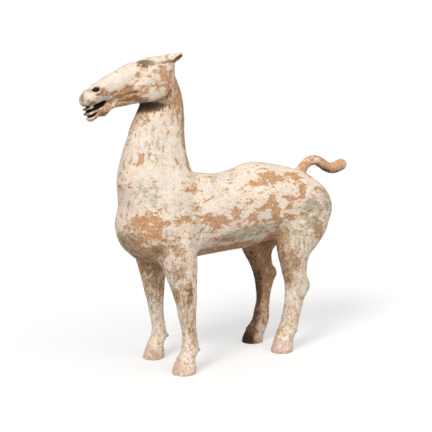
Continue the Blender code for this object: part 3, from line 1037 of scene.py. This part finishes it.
def marked(mesh):
    """Presses in the marks of hand and tool, and lets the slip stand a little off the clay."""
    points = points_of(mesh)
    normals = normals_of(mesh)
    head = on_head(points)

    # lines and hollows, which are drawn as seen from the side
    sides = fade(np.abs(normals[:, 0]), 0.15, 0.5)
    heights = line_heights(points, HEAD_LINES) * head * sides
    heights += line_heights(points, BODY_LINES) * (1 - head) * sides
    for depth, y, z, half_y, half_z, tilt in HEAD_HOLLOWS:
        far = tilted(points, (0, y, z), (1e3, half_y, half_z), tilt)
        heights -= depth * np.exp(-far) * sides
    for x, y, z, radius, depth in CHIPS:
        away = np.linalg.norm(points - (x, y, z), axis=1)
        heights -= depth * fade(-away, -radius, -0.55 * radius)
    heights += foot_heights(points)

    # uneven surface, pits where the soil and shade stains lie, and the edge of the slip
    calm = 1 - 0.6 * head
    heights += calm * (0.6 * ripple(points, 24, 5) + 0.28 * ripple(points, 9, 6))
    legs = fade(-points[:, 2], -190, -170)
    pitted = np.maximum(covered(points, SOIL_AND_SHADE_STAINS), 0.4 * legs)
    grain = points / (1 + upright(points)[:, None] * (0, 0, 1.6))
    heights -= 0.9 * pitted * np.maximum(ripple(grain, 5, 9) - 0.1, 0)
    heights -= 0.3 * fade(bareness(points), 0.42, 0.58)
    set_points(mesh, points + normals * heights[:, None])


def depth_under(points, skin):
    """How deep points of the head lie under the uncut skin, as in the mouth and nostrils."""
    tree = BVHTree.FromObject(linked("uncut", skin), bpy.context.evaluated_depsgraph_get())
    depth = np.zeros(len(points))
    for k in np.flatnonzero((points[:, 2] > 395) & (points[:, 1] < -70)):
        depth[k] = tree.find_nearest(Vector(points[k]) * MM)[3] / MM
    bpy.data.objects.remove(bpy.data.objects["uncut"])
    return depth


def horse_mesh():
    """The whole horse in one mesh, with the marks that the finish reads."""
    uncut = laid_up()
    nostrils = hollows("nostrils", (15.5, -233.5, 451), (10, 7.2, 7.8), tilt=24, outward=8)
    ears = hollows("ears", (22, -93, 492.5), (8, 13, 3.8), tilt=31, outward=12)
    skin = without("cut", uncut, mouth_hollow(), nostrils, ears)
    skin = remeshed("skin", skin, FINE_STEP)
    smoothed(skin, 2)
    marked(skin)
    skin = without("stood", skin, below_ground())
    ratio = TRIANGLES / (2 * len(skin.polygons))
    thin = with_modifiers("thin", skin, ("DECIMATE", {"ratio": ratio}))
    store_marks(thin, depth_under(points_of(thin), uncut))
    return thin


# ---- finish ----

# Colours of the finish, linear
CREAM = (0.8, 0.64, 0.47, 1)
PALE = (0.86, 0.775, 0.675, 1)
COOL = (0.735, 0.69, 0.635, 1)
ROSY = (0.8, 0.58, 0.46, 1)
THIN = (0.78, 0.53, 0.33, 1)
GREY = (0.4, 0.345, 0.24, 1)
DARK_GREY = (0.13, 0.12, 0.085, 1)
CLAY = (0.6, 0.315, 0.16, 1)
DEEP_CLAY = (0.46, 0.21, 0.1, 1)
BROWN = (0.44, 0.255, 0.13, 1)
# dark brown of soil, also used for painted shade under the head and body, in hollows and round the eye
DARK_SOIL_AND_SHADE = (0.11, 0.05, 0.02, 1)
HOOF_PINK = (0.68, 0.455, 0.37, 1)
# near black: painted shade in the mouth, nostrils and throat, and dirt with painted shade on the right
# hind leg
BLACK_SHADE_AND_DIRT = (0.012, 0.008, 0.006, 1)


def add_node(tree, kind, inputs, **settings):
    """A node with its settings. Each input is given as {name or number: value or socket}."""
    node = tree.nodes.new(kind)
    for key, value in settings.items():
        setattr(node, key, value)
    for key, value in inputs.items():
        if isinstance(value, bpy.types.NodeSocket):
            tree.links.new(value, node.inputs[key])
        else:
            node.inputs[key].default_value = value
    return node


class Finish:
    """Builds one material out of short steps that return sockets."""

    def __init__(self, name, shift):
        self.material = bpy.data.materials.new(name)
        self.material.use_nodes = True
        self.tree = self.material.node_tree
        self.shader = self.tree.nodes["Principled BSDF"]
        place = add_node(self.tree, "ShaderNodeTexCoord", {}).outputs["Object"]
        inputs = {"Vector": place, "Scale": (1 / MM, 1 / MM, 1 / MM), "Location": -shift / MM}
        self.place = add_node(self.tree, "ShaderNodeMapping", inputs).outputs[0]

    def stretched(self, x, y, z, shift=(0, 0, 0)):
        """Places with each axis divided by a number, so that a pattern is drawn out along it."""
        inputs = {"Vector": self.place, "Scale": (1 / x, 1 / y, 1 / z), "Location": shift}
        return add_node(self.tree, "ShaderNodeMapping", inputs).outputs[0]

    def grain(self, size, detail=3.0, rough=0.55, place=None):
        """Noise around 0.5 with swells of one size in millimetres."""
        place = place or self.place
        inputs = {"Vector": place, "Scale": 1 / size, "Detail": detail, "Roughness": rough}
        return add_node(self.tree, "ShaderNodeTexNoise", inputs).outputs[0]

    def spot(self, y, z, radius):
        """1 in a small round spot on the left side of the head, 0 round it."""
        # the spot is drawn out across the horse, round x = 20
        drawn_out = 4
        inputs = {0: self.stretched(drawn_out, 1, 1), 1: (20 / drawn_out, y, z)}
        distance = add_node(self.tree, "ShaderNodeVectorMath", inputs, operation="DISTANCE")
        away = distance.outputs["Value"]
        return self.span(away, radius, 0.55 * radius)

    def mark(self, name):
        """A mark that the mesh carries for each of its points."""
        return add_node(self.tree, "ShaderNodeAttribute", {}, attribute_name=name).outputs["Fac"]

    def span(self, value, low, high, to_low=0.0, to_high=1.0):
        """A smooth step from to_low at low to to_high at high."""
        inputs = {"Value": value, 1: low, 2: high, 3: to_low, 4: to_high}
        step = add_node(self.tree, "ShaderNodeMapRange", inputs, interpolation_type="SMOOTHSTEP")
        return step.outputs[0]

    def total(self, first, second, operation="ADD"):
        inputs = {0: first, 1: second}
        return add_node(self.tree, "ShaderNodeMath", inputs, operation=operation).outputs[0]

    def product(self, first, second):
        return self.total(first, second, "MULTIPLY")

    def blend(self, factor, first, second):
        inputs = {0: factor, 6: first, 7: second}
        return add_node(self.tree, "ShaderNodeMix", inputs, data_type="RGBA").outputs[2]


def worn_slip(shift):
    """Cream slip, flaking off orange clay, with grey crust, soil with painted shade, and pink hooves.

    shift is how far the horse has been moved from the middle of its hooves.
    """
    finish = Finish("worn_slip_on_clay", shift)
    blend, grain, span, mark = finish.blend, finish.grain, finish.span, finish.mark
    total, product = finish.total, finish.product
    runs_down = mark("runs_down")
    dirt_and_shade = mark("soil_and_shade")

    def drawn(size, stretch, detail, rough=0.6, away=0.0):
        """Noise drawn out along the barrel, and up and down on the neck and legs.

        Patterns that are a good way away from each other don't match.
        """
        along = grain(size, detail, rough, finish.stretched(1, stretch, 1, (away, 0, 0)))
        down = grain(size, detail, rough, finish.stretched(1, 1, stretch, (away, 0, 0)))
        return add_node(finish.tree, "ShaderNodeMix", {0: runs_down, 2: along, 3: down}).outputs[0]

    def broken(whole, amount, size, stretch, away):
        """A mark broken up by noise."""
        ragged = total(drawn(size, stretch, 8, 0.8, away), -0.5)
        return total(whole, product(ragged, amount))

    worn = broken(mark("bare"), 4.4, 7, 2.1, 0)
    crust = broken(mark("grey"), 3.4, 7, 1.7, 50)
    soil_and_shade = broken(dirt_and_shade, 3.4, 4.2, 1.6, 90)

    # slip: pale and cool where it lies thick, warmer where it wears thin
    slip = blend(span(grain(24, 4), 0.42, 0.58), PALE, COOL)
    slip = blend(span(grain(11, 5, 0.65), 0.47, 0.63, 0, 0.85), slip, CREAM)
    slip = blend(span(grain(5, 4, 0.6), 0.55, 0.65, 0, 0.4), slip, ROSY)
    slip = blend(span(drawn(2.2, 7, 3), 0.54, 0.66, 0, 0.5), slip, THIN)
    slip = blend(span(worn, 0.2, 0.47), slip, THIN)

    # clay, where the slip is lost, with flecks of it in the slip and islands of slip in it
    clay = blend(span(grain(12, 5, 0.65), 0.35, 0.65), CLAY, DEEP_CLAY)
    clay = blend(span(grain(1.8, 3), 0.5, 0.66, 0, 0.45), clay, THIN)
    bare = span(worn, 0.5, 0.545)
    colour = blend(bare, slip, clay)
    flecks = span(drawn(2.6, 2, 5, 0.7), 0.635, 0.69, 0, 0.7)
    colour = blend(flecks, colour, CLAY)
    islands = span(grain(2.2, 4, 0.66), 0.585, 0.64, 0, 0.8)
    colour = blend(islands, colour, PALE)

    # hooves, crust, and soil with painted shade
    colour = blend(product(span(grain(8, 5), 0.34, 0.56), mark("hoof")), colour, HOOF_PINK)
    colour = blend(span(crust, 0.4, 0.75, 0, 0.85), colour, GREY)
    colour = blend(span(crust, 0.92, 1.15, 0, 0.8), colour, DARK_GREY)
    colour = blend(span(soil_and_shade, 0.26, 0.74, 0, 0.76), colour, BROWN)
    colour = blend(span(soil_and_shade, 0.84, 1.1, 0, 0.9), colour, DARK_SOIL_AND_SHADE)
    crumbs = product(span(grain(1.9, 4, 0.7), 0.56, 0.63, 0, 0.6), span(dirt_and_shade, 0.2, 0.6))
    crumbs = product(crumbs, span(dirt_and_shade, 1.0, 0.75))
    colour = blend(crumbs, colour, CREAM)
    pits = total(drawn(2.2, 1.6, 3, 0.66, 20), product(dirt_and_shade, 0.08))
    colour = blend(span(pits, 0.61, 0.67, 0, 0.7), colour, DARK_SOIL_AND_SHADE)
    grit = span(grain(1.3, 3, 0.6), 0.4, 0.62, 0, 0.16)
    colour = blend(grit, colour, BROWN)

    # small dark spots round the eye, partly painted shade, then the near black: painted shade inside mouth
    # and nostrils and under the throat, dirt with painted shade on the right hind leg
    for y, z, radius, strength in DARK_SPOTS:
        colour = blend(product(finish.spot(y, z, radius), strength), colour, DARK_SOIL_AND_SHADE)
    colour = blend(mark("dark"), colour, BLACK_SHADE_AND_DIRT)
    finish.tree.links.new(colour, finish.shader.inputs["Base Color"])

    # relief and roughness
    relief = total(span(worn, 0.46, 0.58, 0, -0.35), product(grain(1.4, 4), 0.2))
    relief = total(relief, product(drawn(5, 2, 5, 0.6), 0.5))
    relief = total(relief, product(span(soil_and_shade, 0.5, 1.1), -0.25))
    height = {"Height": relief, "Strength": 0.9, "Distance": MM}
    bump = add_node(finish.tree, "ShaderNodeBump", height)
    finish.tree.links.new(bump.outputs[0], finish.shader.inputs["Normal"])
    finish.tree.links.new(span(bare, 0, 1, 0.82, 0.95), finish.shader.inputs["Roughness"])
    finish.shader.inputs["Specular IOR Level"].default_value = 0.3
    return finish.material


def store_marks(mesh, depth):
    """What the finish reads at each point: each mark is a number from 0 to about 1."""
    points = points_of(mesh)
    z = points[:, 2]
    # how far each point lies below its neighbours; the hollows get soil and painted shade
    sunk = ((eased(mesh, 8, np.ones(len(points))) - points) * normals_of(mesh)).sum(1)
    hollow_shade_and_dirt = fade(sunk, 0.12, 0.7)
    nostrils = covered(points, NOSTRIL_MOUTHS) * fade(depth, 0.2, 0.7)
    # painted shade inside the mouth and nostrils, darker the deeper a point lies
    inside = fade(depth + nostrils, DARK_FROM, DARK_FULL)
    ear = fade(z, 478, 482)
    # inside the ears: bare clay, with soil and painted shade
    ear_inside = fade(depth, 0.5, 1.6) * ear
    # painted shade on the throat under the jaw
    throat_shade = 0.66 * fade(-tilted(points, (0, -144, 421), (44, 26, 6), 8), -2, -0.3)
    dark = [inside * (1 - 0.8 * ear), throat_shade, covered(points, BLACK_DIRT_AND_SHADE)]
    hoof = np.zeros(len(points))
    for foot in HOOVES:
        under, forward, near = from_hoof(points, foot)
        hoof = np.maximum(hoof, near * fade(under, -0.5, 1.5) * (0.75 + 0.25 * forward))
    soles = 0.5 * fade(-z, -3, -0.5)
    # soil, with painted shade under the head and body, in the hollows of the skin and inside the ears
    soil_and_shade = np.maximum(0.05 + soles, covered(points, SOIL_AND_SHADE_STAINS))
    marks = {
        "bare": np.maximum(bareness(points), 0.9 * ear_inside),
        "runs_down": upright(points),
        "grey": np.maximum(0.1, covered(points, GREY_STAINS)),
        "soil_and_shade": soil_and_shade + (0.35 + 0.15 * on_head(points)) * hollow_shade_and_dirt + 0.7 * ear_inside,
        "hoof": hoof,
        "dark": np.maximum.reduce(dark),
    }
    for name, values in marks.items():
        attribute = mesh.attributes.new(name, "FLOAT", "POINT")
        attribute.data.foreach_set("value", values.astype(np.float32))


# ---- stage ----

WHITE = (1, 1, 1, 1)
FLOOR_GREY = (0.62, 0.62, 0.62, 1)
FLOOR_GLOW = 0.34

# Colour of the light from the air, where it comes from most, and its strength on the dim side, on
# the bright side and as it is seen
WARM_AIR = (1.0, 0.975, 0.945, 1)
BRIGHT_SIDE = (0.6, 0.1, 0.8)
DIM_AIR = 0.14
BRIGHT_AIR = 0.78
SEEN_AIR = 1.05

# Camera: degrees from straight ahead and down, then metres back, aside and up, and mm of the lens
CAMERA_TURN = 55.71
CAMERA_DIP = 8.43
CAMERA_BACK = 1.6645
CAMERA_ASIDE = 0.00605
CAMERA_HEIGHT = 0.48384
LENS = 85


def lamp(name, turn, rise, spread, strength):
    """A far soft light, seen from the horse turn degrees left of straight ahead and rise degrees up."""
    light = bpy.data.lights.new(name, "SUN")
    light.angle = math.radians(spread)
    light.energy = strength * math.pi
    thing = linked(name, light)
    turn, rise = math.radians(turn), math.radians(rise)
    flat = math.cos(rise)
    way = Vector((math.sin(turn) * flat, -math.cos(turn) * flat, math.sin(rise)))
    thing.rotation_euler = way.to_track_quat("Z", "Y").to_euler()


def plain_floor():
    """A pale floor that runs out of sight."""
    shape = bmesh.new()
    bmesh.ops.create_grid(shape, x_segments=1, y_segments=1, size=6)
    mesh = mesh_of("floor", shape)
    floor = linked("floor", mesh)
    floor.visible_diffuse = False
    material = bpy.data.materials.new("pale_floor")
    material.use_nodes = True
    shader = material.node_tree.nodes["Principled BSDF"]
    shader.inputs["Base Color"].default_value = FLOOR_GREY
    shader.inputs["Roughness"].default_value = 0.9
    shader.inputs["Emission Color"].default_value = WHITE
    shader.inputs["Emission Strength"].default_value = FLOOR_GLOW
    mesh.materials.append(material)


def studio_air():
    """A white room all round. It lights the horse more from above and its left than from below."""
    world = bpy.data.worlds.new("studio")
    bpy.context.scene.world = world
    world.use_nodes = True
    tree = world.node_tree
    way = add_node(tree, "ShaderNodeTexCoord", {}).outputs["Generated"]
    towards = {0: way, 1: BRIGHT_SIDE}
    facing = add_node(tree, "ShaderNodeVectorMath", towards, operation="DOT_PRODUCT").outputs["Value"]
    inputs = {"Value": facing, 1: -1, 2: 1, 3: DIM_AIR, 4: BRIGHT_AIR}
    soft = add_node(tree, "ShaderNodeMapRange", inputs).outputs[0]
    seen = add_node(tree, "ShaderNodeLightPath", {}).outputs["Is Camera Ray"]
    strength = add_node(tree, "ShaderNodeMix", {0: seen, 2: soft, 3: SEEN_AIR}).outputs[0]
    background = tree.nodes["Background"]
    inputs = {0: seen, 6: WARM_AIR, 7: WHITE}
    colour = add_node(tree, "ShaderNodeMix", inputs, data_type="RGBA").outputs[2]
    tree.links.new(colour, background.inputs["Color"])
    tree.links.new(strength, background.inputs["Strength"])


def main_camera(shift):
    """The camera stands off the horse's left front quarter and looks a little down."""
    turn = math.radians(CAMERA_TURN)
    dip = math.radians(CAMERA_DIP)
    back = Vector((math.sin(turn), -math.cos(turn), 0))
    right = Vector((math.cos(turn), math.sin(turn), 0))
    ahead = -back * math.cos(dip) - Vector((0, 0, math.sin(dip)))
    up = right.cross(ahead)
    camera = bpy.data.cameras.new("camera")
    camera.sensor_width = 36
    camera.lens = LENS
    thing = linked("camera", camera)
    place = back * CAMERA_BACK - right * CAMERA_ASIDE + Vector((0, 0, CAMERA_HEIGHT)) + shift
    turned = Matrix((right, up, -ahead)).transposed().to_4x4()
    turned.translation = place
    thing.matrix_world = turned
    bpy.context.scene.camera = thing


def main():
    mesh = horse_mesh()

    # to the middle of the solid's box, and not past its faces
    cad_middle = 0.5 * (cad_low + cad_high)
    points = points_of(mesh)
    middle = 0.5 * (points.min(0) + points.max(0)) * MM
    shift = Vector((cad_middle.x - middle[0], cad_middle.y - middle[1], 0))
    low = np.array((cad_low - shift) / MM) + EDGE
    high = np.array((cad_high - shift) / MM) - EDGE
    set_points(mesh, np.clip(points, low, high))
    mesh.transform(Matrix.Translation(shift))

    mesh.shade_smooth()
    mesh.materials.append(worn_slip(shift))
    horse = linked("painted_horse", mesh)
    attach(horse, "root")
    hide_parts("pottery_horse")
    plain_floor()
    main_camera(shift)
    lamp("key", turn=30, rise=38, spread=22, strength=0.575)
    lamp("fill", turn=92, rise=38, spread=60, strength=0.25)
    studio_air()
    bpy.context.scene.view_settings.view_transform = "Standard"


main()
